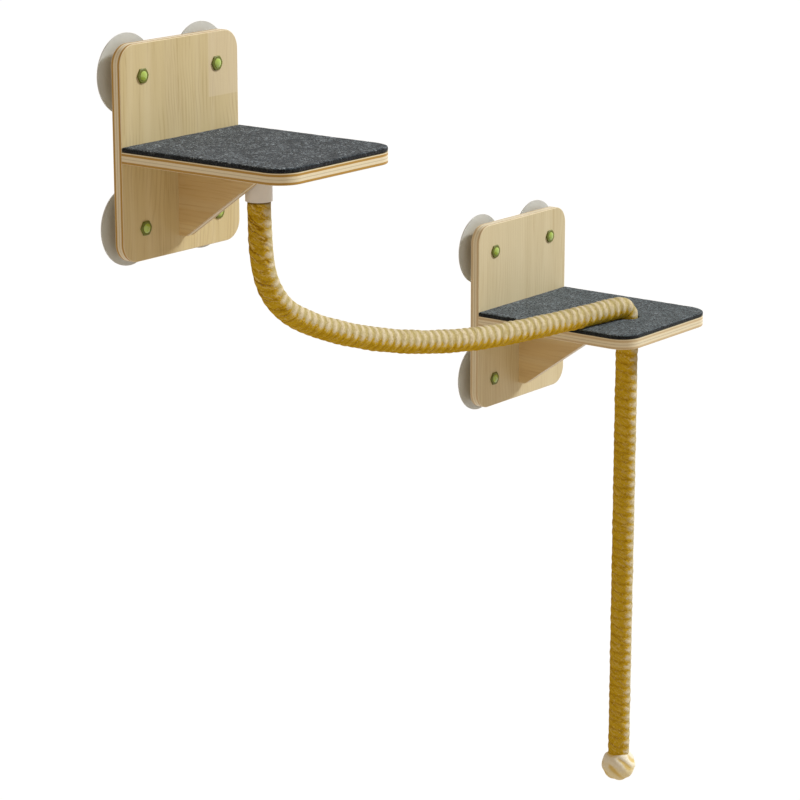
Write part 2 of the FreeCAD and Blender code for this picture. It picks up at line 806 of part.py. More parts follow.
def rope_bridge():
    """The rope from its socket to the fold over the lower shelf's hole."""
    mouth = Vector(number(SOCKET_PLACE[0]), number(SOCKET_PLACE[1]), number(f"{UNDER} - socket_length"))
    hole = Vector(number(HOLE[0]), number(HOLE[1]), number(LIE))
    way = Vector(hole.x - mouth.x, hole.y - mouth.y, 0).normalize()
    side = UP.cross(way)
    points = [mouth + UP * number("socket_bore")]
    points += [mouth + way * far - UP * drop for far, drop in ROUTE_FROM_SOCKET]
    points += [hole - way * far + UP * height for far, height in ROUTE_TO_HOLE]
    fold_start = hole - way * number("fold_radius")
    points.append(fold_start)
    path, radii = rounded_path(points)
    print("bridge route radii:", [round(radius) for radius in radii])
    reach, setback = number(HINGE_REACH), number("wrap_setback")
    total = length_of(path)
    top_hinge = number("socket_bore + top_hinge_drop")
    low_hinge = total - number("shelf_run")
    for name, distance in (("top", top_hinge), ("low", low_hinge)):
        print(f"bridge {name} hinge at", [round(c, 3) for c in along(path, distance)[0]])

    bent_core("rope_top_core", path, 0.0, top_hinge - reach, False, False)
    wrap("rope_top_wrap", path, 0.0, top_hinge - setback, side, lead_start=True)

    bent_core("rope_bridge_core", path, top_hinge, low_hinge, True, True)
    first, last = top_hinge + setback, low_hinge - setback
    each = (last - first) / BRIDGE_WRAPS
    quarters = quarter_count(each)
    turn = 0.0
    for i in range(BRIDGE_WRAPS):
        begin = first + each * i
        turn = wrap(f"rope_bridge_wrap_{i + 1}", path, begin, begin + each, side, quarters, turn)

    bent_core("rope_shelf_core", path, low_hinge + reach, total, False, False)
    rope_half = number("strand_diameter / 2")
    wrap("rope_shelf_wrap", path, low_hinge + setback, total - rope_half - number("hinge_gap"), side)

    bend = hole - UP * number("fold_radius")
    centre = bend - way * number("fold_radius")
    middle = centre + (way + UP).normalize() * number("fold_radius")
    foot = Vector(hole.x, hole.y, number(FOLD_END))
    edges = [Part.Arc(fold_start, middle, bend).toShape(), Part.LineSegment(bend, foot).toShape()]
    fold = tube(edges, number("rope_diameter / 2"))
    report_tube("rope_fold", fold, edges, number("rope_diameter / 2"))
    rope_feature("rope_fold", fold)


def hanging_rope():
    """The rope's hanging end: a short link under the shelf, two long stretches and a ball. The link
    hinges about X and the others about Y, and each strand ends beside its hinge's axis."""
    x, y = number(HOLE[0]), number(HOLE[1])
    setback = number("wrap_setback")
    side = Vector(0, 1, 0)
    stretches = [
        ("rope_link", LINK_HINGE, TAIL_HINGE, 0.0, 1),
        ("rope_tail_upper", TAIL_HINGE, BEND_HINGE, math.pi / 2, 0),
        ("rope_tail_lower", BEND_HINGE, ROPE_END, math.pi / 2, 0),
    ]
    for name, top, bottom, first_turn, odd in stretches:
        last = bottom == ROPE_END
        straight_core(f"{name}_core", top, bottom if last else f"({bottom} + {HINGE_REACH})")
        ends = [Vector(x, y, number(top)), Vector(x, y, number(bottom))]
        path = [Part.LineSegment(*ends).toShape()]
        end = path[0].Length - (0 if last else setback)
        quarters = None if last else quarter_count(end - setback, odd)
        wrap(f"{name}_wrap", path, setback, end, side, quarters, first_turn, lead_end=last)
        print(f"{name} hinge at", [round(c, 3) for c in ends[0]])

    ball = doc.addObject("Part::Sphere", "rope_end_ball_solid")
    tie(ball, "Radius", "ball_diameter / 2")
    bore = doc.addObject("Part::Cylinder", "rope_end_ball_bore")
    tie(bore, "Radius", "rope_diameter / 2 + rope_fit")
    tie(bore, "Height", "ball_bore_below + ball_diameter / 2")
    knob = doc.addObject("Part::Cut", "rope_end_ball")
    knob.Base = put(ball, *HOLE, BALL_CENTRE)
    knob.Tool = put(bore, *HOLE, ROPE_END)
    node(knob, "rope_end_ball")


def check_and_write():
    """Stops if any object failed, then writes one file for each node."""
    doc.recompute()
    for obj in doc.Objects:
        if {"Invalid", "Error"} & set(obj.State):
            raise RuntimeError(f"{obj.Label} failed: {obj.State}")
    for obj in nodes:
        if obj.Shape.isNull() or not obj.Shape.isValid() or not obj.Shape.Solids:
            raise RuntimeError(f"{obj.Label} has no valid solid")
    os.makedirs("parts", exist_ok=True)
    for obj in nodes:
        obj.Shape.exportStep(f"parts/{obj.Label}.step")
    print(len(nodes), "nodes,", sum(len(obj.Shape.Solids) for obj in nodes), "solids")


for unit in UNITS:
    shelf_unit(unit)
rope_socket()
rope_bridge()
hanging_rope()
check_and_write()
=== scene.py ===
import math

import bmesh
import bpy
import numpy as np
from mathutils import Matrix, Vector, noise


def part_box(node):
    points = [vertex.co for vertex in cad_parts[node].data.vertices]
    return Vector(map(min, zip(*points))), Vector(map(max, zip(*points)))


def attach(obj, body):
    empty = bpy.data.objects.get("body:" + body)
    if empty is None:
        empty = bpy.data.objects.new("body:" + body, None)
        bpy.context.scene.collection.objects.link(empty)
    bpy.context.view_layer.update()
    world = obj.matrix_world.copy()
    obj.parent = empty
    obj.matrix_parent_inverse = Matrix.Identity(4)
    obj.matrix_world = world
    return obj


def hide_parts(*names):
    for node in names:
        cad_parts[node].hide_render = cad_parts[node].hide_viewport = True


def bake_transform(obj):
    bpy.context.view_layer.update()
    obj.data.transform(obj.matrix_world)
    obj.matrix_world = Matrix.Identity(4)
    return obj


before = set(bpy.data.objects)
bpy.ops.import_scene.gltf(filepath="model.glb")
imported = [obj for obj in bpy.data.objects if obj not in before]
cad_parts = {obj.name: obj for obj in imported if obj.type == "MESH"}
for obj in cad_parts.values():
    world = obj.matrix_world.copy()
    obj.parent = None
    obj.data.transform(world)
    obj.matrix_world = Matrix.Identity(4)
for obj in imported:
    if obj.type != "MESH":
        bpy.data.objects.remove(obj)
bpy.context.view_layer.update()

# Sizes in metres, as in the part's source
PLY = 0.0165
FELT = 0.0075
PLATE_FRONT = -0.033
SHELF_TOP = 0.0061
SHELF_HALF = 0.125
SHELF_DEPTH = 0.293
SHELF_CORNER = 0.036
UNIT_STEP = 0.8465
UNIT_DROP = 0.390
ROPE_HOLE_Y = -0.243
FELT_HOLE = 0.0186
FELT_HOLE_BRIDGE_SIDE = 0.0215
CUPS_PER_UNIT = 4
BRIDGE_WRAPS = 9
BRIDGE_WRAPS_NEAR = 4

# The rope's route, as in the part's source: distance along the bridge and drop from the socket's mouth,
# then distance before the hole and height over the rope's lie on the felt, then heights below the hole.
UP = Vector((0, 0, 1))
MOUTH = Vector((0.030, -0.1505, -0.0714))
SOCKET_BORE = 0.026
ROPE_LIE = 0.0178
HOLE = Vector((UNIT_STEP, ROPE_HOLE_Y, SHELF_TOP + FELT - UNIT_DROP + ROPE_LIE))
ROUTE_FROM_SOCKET = [
    (0, 0.0665),
    (0.013, 0.1245),
    (0.046, 0.1675),
    (0.112, 0.2025),
    (0.214, 0.2375),
    (0.330, 0.2645),
    (0.462, 0.2815),
]
ROUTE_TO_HOLE = [(0.230, 0.0012), (0.130, 0), (0.056, 0), (0, 0)]
TAIL_END_Z = -1.1571
ROUTE_DOWN = [-0.4146, -0.600, -0.860, TAIL_END_Z]
ROUTE_ORDER = 3
ROUTE_RESOLUTION = 40
BRIDGE_WAY = Vector((HOLE.x - MOUTH.x, HOLE.y - MOUTH.y, 0)).normalized()
BRIDGE_SIDE = UP.cross(BRIDGE_WAY)

# The rope's skin
ROPE_DIAMETER = 0.035
ROPE_SIDES = 64
RIB_PITCH = 0.0152
RIB_STEPS = 11
RIB_ROUNDNESS = 1.3
TANGENT_STEP = 0.001
# Depth of the grooves between turns at distances along the rope, shallow where it hangs straight
RIB_DEPTHS = [(0.10, 0.0006), (0.30, 0.0011), (1.02, 0.0011), (1.12, 0.0007)]
# How much fuller than its nominal radius the rope is at distances along it
ROPE_SWELLS = [
    (0.0, -0.0003),
    (0.22, 0.0002),
    (0.42, 0.0009),
    (0.66, 0.0009),
    (0.82, 0.0004),
    (1.16, 0.0010),
    (1.76, 0.0006),
]
# Unevenness of the cord's back: height, waves in radians per turn, and start; then how far it is sunk
CORD_WAVES = [(0.00030, 11.3, 0.0), (0.00022, 29.7, 1.3)]
CORD_SINK = 0.0001

# Where the rope's hinges are
SWAY_TOP = Vector((0.030, -0.1505, -0.1074))
SWAY_LOW = Vector((0.680563, -0.224201, -0.358152))
TAIL_Z = -0.4856
BEND_Z = -0.8006
# Where the skin is cut: a distance in the socket, a place on the bridge, past the low hinge, and heights
SOCKET_CUT = 0.016
BRIDGE_CUT_FAR = 0.300
BRIDGE_CUT_DROP = 0.2585
PAST_SWAY = 0.004
TAIL_CUTS = [-0.4500, -0.6900, -1.1400]
# How far the bends reach before and after their hinges, and the heights of the bend below the hole
SWAY_REACH = 0.03
SWING_REACH = 0.034
BEND_REACH = 0.070
LINK_BEND_START = -0.4025
LINK_BEND_END = -0.4310

# The ball on the rope's end
BALL_CENTRE = Vector((UNIT_STEP, ROPE_HOLE_Y, TAIL_END_Z))
BALL_RADIUS = 0.0287
BALL_RINGS = 88
BALL_SIDES = 120
BALL_WINDING = Vector((0.52, -0.38, 0.76))
BALL_FOLDS = 4.6
FOLD_SHARPNESS = 2.6
FOLD_DEPTH = 0.05
TOP_SQUEEZE = 0.05
WANDER_SCALE = 1.4
WANDER = 0.7
OPENED_SCALE = 1.7
OPENED_SHIFT = Vector((4, 2, 1))
OPENED_LEAST = 0.2
OPENED_MEAN = 0.75
OPENED_SPREAD = 1.3
# Painted light: the ball's share of the pale colour, and how much it grows towards the top
BALL_PAINTED_LIT_MEAN = 0.20
BALL_PAINTED_LIT_UPWARD = 0.85

# The felt's edge, its mesh and the scales and heights of its nap
FELT_EASE = 0.0016
FELT_EASE_STEPS = 3
FELT_VOXEL = 0.0021
CORNER_STEPS = 24
HOLE_SIDES = 48
WELD = 1e-5
NAP_WAVES = [(90, 0.00022), (400, 0.00016)]
NAP_SINK = 0.0002

# Wood: the dark and light of its figure and the tone of its grain
BIRCH = ((0.665, 0.55, 0.295), (0.735, 0.625, 0.36), (0.42, 0.28, 0.10))
PALE_BIRCH = ((0.71, 0.62, 0.395), (0.76, 0.677, 0.45), (0.54, 0.42, 0.20))
# Painted shade: a warmer, redder birch for the gussets, whose left face lies in shade
SHADED_BIRCH = ((0.70, 0.52, 0.26), (0.80, 0.63, 0.34), (0.54, 0.35, 0.14))
CATHEDRAL_PALE = (0.84, 0.75, 0.52)
VENEER_STRIP = (0.84, 0.74, 0.56)
VENEER_CORNER = (0.060, 0.0605)
VENEER_JOINT = 0.001
GRAIN_START = (0.31, 0.17, 0.05)
FIGURE_STRETCH = 0.11
FINE_STRETCH = 0.035
RING_STRETCH = 0.4
PLY_CREAM = ((0.78, 0.68, 0.45), (0.95, 0.89, 0.70))
PLY_BROWN = ((0.40, 0.215, 0.03), (0.56, 0.33, 0.06))
PLY_GLUE = (0.42, 0.35, 0.22)
PLY_WOBBLE = 0.0006

# Felt
FELT_DARK = (0.005, 0.007, 0.010)
FELT_FLECK = (0.38, 0.45, 0.52)
FELT_CUT_EDGE = (0.006, 0.007, 0.009)
UPPER_FELT = (0.061, 0.084, 0.108)
LOWER_FELT = (0.118, 0.160, 0.190)
UPPER_FLECKS = 1.0
LOWER_FLECKS = 0.7
FUZZ = {"Sheen Roughness": 0.45}

# Rope and ball: pairs go from groove to crest, and their darker groove ends are painted shade. The pale
# pairs are painted light on the side that faces the light. The heights are where the cord's strokes grow
# stronger towards the socket, and the painted shadow ring at the socket's mouth.
ROPE_GOLDEN = ((0.54, 0.335, 0.012), (0.67, 0.455, 0.024))
ROPE_PALE = ((0.51, 0.435, 0.20), (0.77, 0.69, 0.51))
DARK_YARN = (0.29, 0.135, 0.003)
BRIGHT_YARN = (0.88, 0.70, 0.27)
WORN_YARN = (0.50, 0.40, 0.17)
LOOSE_ENDS = (0.86, 0.74, 0.40)
CORD_GAPS = (0.32, 0.17, 0.008)
PAINTED_MOUTH_SHADOW = (0.10, 0.045, 0.006)
NEAR_SOCKET = (-0.28, -0.20)
PAINTED_SHADOW_HEIGHTS = (-0.0765, -0.0725)
BALL_GOLDEN = ((0.82, 0.63, 0.22), (0.95, 0.86, 0.54))
BALL_PALE = ((0.85, 0.71, 0.36), (0.96, 0.93, 0.79))
# Painted light: the rope and the ball are painted pale on the side that faces this way, towards the key
# light
PAINTED_LIGHT_SIDE = Vector((0.50, -0.36, 0.79))
# How many strokes lie across a turn of the cord, how they shear, and how they climb along it
FLECKS_ACROSS = 3.2
FLECK_SHEAR = 1.6
FLECK_CLIMB = 8.4

# Moulded and metal pieces
STUD_GREEN = ((0.36, 0.54, 0.05), (0.52, 0.70, 0.13))
NUT_GREEN = ((0.120, 0.136, 0.006), (0.175, 0.195, 0.012))
SOCKET_PALE = ((0.82, 0.82, 0.83), (0.88, 0.885, 0.895))
# Cups: the middle's warm grey is painted shade and a painted reflection of the wood
CUP_SHADED_MIDDLE = ((0.56, 0.52, 0.44), (0.66, 0.63, 0.55))
CUP_THIN = ((0.71, 0.74, 0.73), (0.80, 0.83, 0.82))
ZINC = ((0.50, 0.50, 0.49), (0.66, 0.66, 0.64))

# Stage, light and camera
WHITE = (1, 1, 1, 1)
SKY_COLOUR = (1.0, 0.81, 0.61, 1)
SKY_STRENGTH = 0.42
FLOOR_REACH = 12.0
FLOOR_LEVEL = -1.30
FLOOR_COLOUR = (0.66, 0.6, 0.53, 1)
FLOOR_GLOW = 1.11
FLOOR_WHITE_SHARE = 0.86
KEY_WAY = Vector((-0.62, 0.50, -0.60))
KEY_ENERGY = 2.6
KEY_ANGLE = math.radians(10)
KEY_COLOUR = (0.98, 1.0, 1.0)
CAMERA_PLACE = (-3.0866, -2.7958, 0.7119)
CAMERA_YAW = math.radians(52.470)
CAMERA_PITCH = math.radians(14.744)
CAMERA_LENS = 132.15
CAMERA_SENSOR = 36.0
CAMERA_CLIP_END = 100.0

# Axes, and a Mix node's sockets for colours
X = 0
Y = 1
Z = 2
MIX_FIRST = 6
MIX_SECOND = 7
MIX_RESULT = 2


# Material helpers


def set_socket(tree, socket, value):
    """Links another node's output to a socket, or sets the socket to a number or a colour."""
    if isinstance(value, bpy.types.NodeSocket):
        tree.links.new(value, socket)
    else:
        socket.default_value = value


def add_node(tree, kind, inputs=None, **settings):
    """Adds a shader node. An input's value is a number, a colour or another node's output."""
    made = tree.nodes.new(kind)
    for name, value in settings.items():
        setattr(made, name, value)
    for name, value in (inputs or {}).items():
        set_socket(tree, made.inputs[name], value)
    return made


def math_node(tree, operation, first, second=0.0, clamp=False):
    made = add_node(tree, "ShaderNodeMath", {0: first, 1: second}, operation=operation, use_clamp=clamp)
    return made.outputs[0]


def plus(tree, first, second):
    return math_node(tree, "ADD", first, second)


def minus(tree, first, second):
    return math_node(tree, "SUBTRACT", first, second)


def times(tree, first, second):
    return math_node(tree, "MULTIPLY", first, second)


def scale_and_add(tree, value, factor, offset):
    made = math_node(tree, "MULTIPLY_ADD", value, factor)
    made.node.inputs[2].default_value = offset
    return made


def mix_colours(tree, factor, first, second):
    made = add_node(tree, "ShaderNodeMix", {0: factor}, data_type="RGBA")
    for place, colour in ((MIX_FIRST, first), (MIX_SECOND, second)):
        value = (*colour, 1) if isinstance(colour, tuple) else colour
        set_socket(tree, made.inputs[place], value)
    return made.outputs[MIX_RESULT]


def ramp(tree, factor, low, high):
    """A smooth step of a value from low to high."""
    inputs = {"Value": factor, "From Min": low, "From Max": high}
    made = add_node(tree, "ShaderNodeMapRange", inputs, interpolation_type="SMOOTHSTEP")
    return made.outputs["Result"]


def object_coords(tree, scale=(1, 1, 1), shift=(0, 0, 0)):
    """The row frame's coordinates, scaled to stretch a texture."""
    coords = tree.nodes.new("ShaderNodeTexCoord")
    inputs = {"Vector": coords.outputs["Object"], "Scale": scale, "Location": shift}
    return add_node(tree, "ShaderNodeMapping", inputs).outputs[0]


def vector_part(tree, vector, axis):
    return add_node(tree, "ShaderNodeSeparateXYZ", {"Vector": vector}).outputs[axis]


def object_part(tree, axis):
    """One of the row frame's coordinates."""
    return vector_part(tree, object_coords(tree), axis)


def normal_part(tree, axis):
    """How far a surface faces along one of the row frame's axes."""
    return vector_part(tree, tree.nodes.new("ShaderNodeTexCoord").outputs["Normal"], axis)


def uv_part(tree, layer, axis):
    """One of the two values that a mesh's UV layer holds."""
    return vector_part(tree, add_node(tree, "ShaderNodeUVMap", uv_map=layer).outputs[0], axis)


def noise_node(tree, vector, scale, detail=2.0, roughness=0.5, distortion=0.0):
    inputs = {"Vector": vector, "Scale": scale, "Detail": detail}
    inputs.update({"Roughness": roughness, "Distortion": distortion})
    return add_node(tree, "ShaderNodeTexNoise", inputs).outputs["Fac"]


def bands(tree, vector, axis, scale, distortion, detail, detail_scale):
    """Bands across an axis, bent by noise."""
    inputs = {"Vector": vector, "Scale": scale, "Distortion": distortion}
    inputs.update({"Detail": detail, "Detail Scale": detail_scale})
    return add_node(tree, "ShaderNodeTexWave", inputs, bands_direction="XYZ"[axis]).outputs["Fac"]


def new_material(name, constants):
    """A Principled material. Constants go straight on the shader's sockets."""
    made = bpy.data.materials.new(name)
    made.use_nodes = True
    shader = made.node_tree.nodes["Principled BSDF"]
    for socket, value in constants.items():
        shader.inputs[socket].default_value = value
    return made, made.node_tree, shader


def finish_surface(tree, shader, colour, rough_source, rough_least, rough_spread):
    """Sets the colour, and a roughness that follows a texture's value."""
    tree.links.new(colour, shader.inputs["Base Color"])
    roughness = scale_and_add(tree, rough_source, rough_spread, rough_least)
    tree.links.new(roughness, shader.inputs["Roughness"])


def set_relief(tree, shader, height, strength, distance):
    inputs = {"Height": height, "Strength": strength, "Distance": distance}
    made = add_node(tree, "ShaderNodeBump", inputs)
    tree.links.new(made.outputs[0], shader.inputs["Normal"])


# Materials


def plies(tree, depth, strength):
    """The board's edge: cream faces, a brown ply under each, and a cream middle with a grey glue line."""
    plain = object_coords(tree)
    wobble = times(tree, noise_node(tree, plain, 30, detail=1), PLY_WOBBLE)
    share = times(tree, plus(tree, depth, wobble), 1 / PLY)
    off_middle = times(tree, math_node(tree, "ABSOLUTE", minus(tree, share, 0.5)), 2)
    brown_ply = minus(tree, ramp(tree, off_middle, 0.42, 0.54), ramp(tree, off_middle, 0.82, 0.92))
    glue_line = minus(tree, 1, ramp(tree, off_middle, 0.02, 0.12))
    fibre = noise_node(tree, plain, 900, roughness=0.7)
    cream = mix_colours(tree, fibre, *PLY_CREAM)
    brown = mix_colours(tree, fibre, *PLY_BROWN)
    colour = mix_colours(tree, times(tree, glue_line, 0.5), cream, PLY_GLUE)
    return mix_colours(tree, times(tree, brown_ply, strength), colour, brown), glue_line


def plywood(name, thickness_axis, grain_axis, face_start, shift, tones, ply_strength, joint=None):
    """Clear-finished birch ply: faint figure and fine grain on the faces, plies on the edges. A joint is the
    corner, across and along the grain, beyond which a paler strip of veneer is let in."""
    made, tree, shader = new_material(name, {"Specular IOR Level": 0.35, "Coat Weight": 0.08})
    dark, light, grain_tone = tones
    across_axis = X + Y + Z - thickness_axis - grain_axis

    def along_grain(stretch):
        scale = [1.0, 1.0, 1.0]
        scale[grain_axis] = stretch
        return object_coords(tree, scale, shift)

    figure_coords = along_grain(FIGURE_STRETCH)
    figure = noise_node(tree, figure_coords, 17, detail=3, distortion=1.4)
    cathedral = bands(tree, figure_coords, across_axis, scale=7, distortion=9, detail=2.5, detail_scale=1.2)
    fine = noise_node(tree, along_grain(FINE_STRETCH), 300, roughness=0.6, distortion=0.5)
    colour = mix_colours(tree, ramp(tree, figure, 0.3, 0.7), dark, light)
    pale = times(tree, ramp(tree, cathedral, 0.55, 1.0), 0.2)
    colour = mix_colours(tree, pale, colour, CATHEDRAL_PALE)
    streaks = times(tree, ramp(tree, fine, 0.52, 0.74), ramp(tree, figure, 0.72, 0.35))
    colour = mix_colours(tree, times(tree, streaks, 0.5), colour, grain_tone)
    ring_coords = along_grain(RING_STRETCH)
    rings = bands(tree, ring_coords, across_axis, scale=46, distortion=26, detail=2, detail_scale=0.22)
    strong_rings = ramp(tree, noise_node(tree, ring_coords, 24), 0.34, 0.66)
    ring_lines = times(tree, ramp(tree, rings, 0.5, 1.0), strong_rings)
    colour = mix_colours(tree, times(tree, ring_lines, 0.22), colour, grain_tone)
    if joint:
        across = ramp(tree, object_part(tree, across_axis), joint[0], joint[0] + VENEER_JOINT)
        along = ramp(tree, object_part(tree, grain_axis), joint[1], joint[1] + VENEER_JOINT)
        strip = times(tree, times(tree, across, along), 0.4)
        colour = mix_colours(tree, strip, colour, VENEER_STRIP)

    depth = minus(tree, object_part(tree, thickness_axis), face_start)
    edge_colour, glue_line = plies(tree, depth, ply_strength)
    facing = math_node(tree, "ABSOLUTE", normal_part(tree, thickness_axis))
    on_edge = minus(tree, 1, ramp(tree, facing, 0.75, 0.97))
    colour = mix_colours(tree, on_edge, colour, edge_colour)
    finish_surface(tree, shader, colour, fine, rough_least=0.40, rough_spread=0.18)
    sunk_lines = times(tree, minus(tree, 1, glue_line), on_edge)
    height = plus(tree, times(tree, fine, 0.6), sunk_lines)
    set_relief(tree, shader, height, strength=0.16, distance=0.0006)
    return made


def felt_material(unit, tone, fleck_strength):
    """Heathered slate felt: dark and light flecks on the nap, and a near-black cut edge."""
    constants = {"Sheen Weight": 0.15, **FUZZ, "Specular IOR Level": 0.1}
    made, tree, shader = new_material(f"{unit}_felt_slate", constants)
    tangle = noise_node(tree, object_coords(tree), 310, detail=3, roughness=0.75, distortion=0.9)
    clumps = noise_node(tree, object_coords(tree), 40, detail=3, roughness=0.6, distortion=0.4)
    fleck_coords = object_coords(tree, scale=(1, 0.7, 1), shift=(3, 1, 0))
    flecks = noise_node(tree, fleck_coords, 320, roughness=0.6, distortion=1.2)
    colour = mix_colours(tree, ramp(tree, tangle, 0.43, 0.57), FELT_DARK, tone)
    bright = times(tree, ramp(tree, flecks, 0.535, 0.60), ramp(tree, clumps, 0.25, 0.70))
    colour = mix_colours(tree, times(tree, bright, fleck_strength), colour, FELT_FLECK)
    cut_edge = minus(tree, 1, ramp(tree, normal_part(tree, Z), 0.25, 0.85))
    colour = mix_colours(tree, times(tree, cut_edge, 0.85), colour, FELT_CUT_EDGE)
    finish_surface(tree, shader, colour, tangle, rough_least=0.82, rough_spread=0.15)
    set_relief(tree, shader, plus(tree, tangle, flecks), strength=0.8, distance=0.0014)
    return made


def winding_coords(tree):
    """Where a point lies across its turn of the cord, 0 to 1, and how many turns along the cord it is. The
    turns stray a little from an even winding."""
    around = uv_part(tree, "winding", X)
    even = uv_part(tree, "winding", Y)
    off_line = minus(tree, noise_node(tree, object_coords(tree), 130, roughness=0.6), 0.5)
    wound = plus(tree, even, times(tree, off_line, 0.6))
    turn = math_node(tree, "FLOOR", wound)
    return math_node(tree, "FRACT", wound), minus(tree, around, turn)


def slanting_flecks(tree, across, along, per_turn, shift):
    """Short strokes that slant over the cord like its twisted yarns."""
    place = plus(tree, times(tree, along, per_turn), shift)
    slanted = plus(tree, place, times(tree, across, FLECK_SHEAR))
    climb = plus(tree, times(tree, along, FLECK_CLIMB), times(tree, across, FLECKS_ACROSS))
    vector = add_node(tree, "ShaderNodeCombineXYZ", {"X": slanted, "Y": climb}).outputs[0]
    return noise_node(tree, vector, 1.0, detail=3, roughness=0.55, distortion=0.4)


def pale_where_lit(tree, crest, crest_share, ragged_share, begin, full):
    """Painted light: 0 on the shaded side of the cord to 1 on the side that faces the light, sooner on the
    crests as painted highlights, and with a ragged border."""
    facing = uv_part(tree, "painted_light", X)
    tangle = noise_node(tree, object_coords(tree), 210, detail=3, roughness=0.75, distortion=0.8)
    border = plus(tree, times(tree, tangle, ragged_share), times(tree, crest, crest_share))
    return ramp(tree, plus(tree, facing, border), begin, full)


def rope_material():
    """Golden cord wound round the rope: slanting dark and pale yarns, painted pale towards the light as
    painted light, with painted shade in its grooves and a painted shadow ring at the socket's mouth.
    """
    made, tree, shader = new_material("rope_cord", {"Specular IOR Level": 0.0})
    across, along = winding_coords(tree)
    crest = math_node(tree, "SINE", times(tree, across, math.pi))
    patches = ramp(tree, noise_node(tree, object_coords(tree), 55, roughness=0.6), 0.05, 0.55)
    ridge = times(tree, math_node(tree, "POWER", crest, 2.5), patches)
    yarns = slanting_flecks(tree, across, along, per_turn=6, shift=0.0)
    worn = slanting_flecks(tree, across, along, per_turn=10, shift=40.5)
    fibres = noise_node(tree, object_coords(tree), 1100, detail=3, roughness=0.7, distortion=0.8)

    # Painted shade: the golden cord is darker in the grooves between its turns
    golden = mix_colours(tree, ramp(tree, crest, 0.0, 0.7), *ROPE_GOLDEN)
    near_socket = ramp(tree, object_part(tree, Z), *NEAR_SOCKET)
    rougher = scale_and_add(tree, near_socket, factor=0.50, offset=0.35)
    dark_yarn = times(tree, ramp(tree, yarns, 0.52, 0.64), rougher)
    golden = mix_colours(tree, dark_yarn, golden, DARK_YARN)
    bright_yarn = times(tree, ramp(tree, worn, 0.54, 0.66), rougher)
    golden = mix_colours(tree, bright_yarn, golden, BRIGHT_YARN)

    # Painted shade: the pale side too is darker in its grooves than on its crests
    pale = mix_colours(tree, ridge, *ROPE_PALE)
    worn_yarn = times(tree, ramp(tree, yarns, 0.48, 0.64), 0.4)
    pale = mix_colours(tree, worn_yarn, pale, WORN_YARN)
    # Painted light and highlight: the cord turns pale where it faces the light, on its crests first
    painted_lit = pale_where_lit(tree, crest, crest_share=0.34, ragged_share=0.9, begin=0.68, full=1.06)
    colour = mix_colours(tree, painted_lit, golden, pale)

    fuzz = noise_node(tree, object_coords(tree), 330, detail=3, roughness=0.7, distortion=0.9)
    loose_ends = times(tree, ramp(tree, fuzz, 0.56, 0.66), 0.45)
    colour = mix_colours(tree, loose_ends, colour, LOOSE_ENDS)
    gaps = times(tree, ramp(tree, fuzz, 0.44, 0.34), 0.45)
    colour = mix_colours(tree, gaps, colour, CORD_GAPS)
    # Painted shadow: a dark ring on the rope just below the socket's mouth
    mouth = times(tree, ramp(tree, object_part(tree, Z), *PAINTED_SHADOW_HEIGHTS), 0.8)
    colour = mix_colours(tree, mouth, colour, PAINTED_MOUTH_SHADOW)
    finish_surface(tree, shader, colour, fibres, rough_least=0.7, rough_spread=0.2)
    height = plus(tree, minus(tree, worn, yarns), times(tree, fibres, 0.5))
    set_relief(tree, shader, height, strength=0.8, distance=0.0012)
    return made


def ball_material():
    """The ball's paler cord: cream folds, golden between them and underneath as painted shade, and pale
    towards its top and lit side as painted light.
    """
    constants = {"Sheen Weight": 0.2, **FUZZ, "Specular IOR Level": 0.12}
    made, tree, shader = new_material("ball_cord", constants)
    fold = uv_part(tree, "winding", X)
    fibres = noise_node(tree, object_coords(tree), 900, detail=3, roughness=0.7, distortion=0.8)
    # Painted shade: darker in the folds between the turns
    golden = mix_colours(tree, ramp(tree, fold, 0.0, 0.9), *BALL_GOLDEN)
    pale = mix_colours(tree, ramp(tree, fold, 0.0, 0.7), *BALL_PALE)
    painted_lit = pale_where_lit(tree, fold, crest_share=0.45, ragged_share=1.1, begin=0.84, full=1.44)
    colour = mix_colours(tree, painted_lit, golden, pale)
    finish_surface(tree, shader, colour, fibres, rough_least=0.66, rough_spread=0.2)
    set_relief(tree, shader, fibres, strength=0.6, distance=0.0010)
    return made


def cup_material(cup):
    """Soft translucent cup: pale at its thin rim, warm grey at its thick middle, where the darker, warmer
    tone is painted shade and a painted reflection of the wood.
    """
    soft = {"Transmission Weight": 0.22, "IOR": 1.42, "Coat Weight": 0.25, "Coat Roughness": 0.25}
    made, tree, shader = new_material(f"{cup}_soft", soft)
    low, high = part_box(cup)
    centre = (low + high) / 2
    radius = (high.x - low.x) / 2
    from_middle = object_coords(tree, scale=(1, 0, 1), shift=(-centre.x, 0, -centre.z))
    length = add_node(tree, "ShaderNodeVectorMath", {"Vector": from_middle}, operation="LENGTH")
    rim = ramp(tree, length.outputs["Value"], 0.55 * radius, 0.98 * radius)
    cloud = noise_node(tree, object_coords(tree), 45, detail=3)
    # Painted shade and reflection: warm grey towards the middle
    shaded_middle = mix_colours(tree, cloud, *CUP_SHADED_MIDDLE)
    thin = mix_colours(tree, cloud, *CUP_THIN)
    scuffs = noise_node(tree, object_coords(tree), 420, roughness=0.6)
    colour = mix_colours(tree, rim, shaded_middle, thin)
    finish_surface(tree, shader, colour, scuffs, rough_least=0.30, rough_spread=0.2)
    set_relief(tree, shader, cloud, strength=0.08, distance=0.0008)
    return made


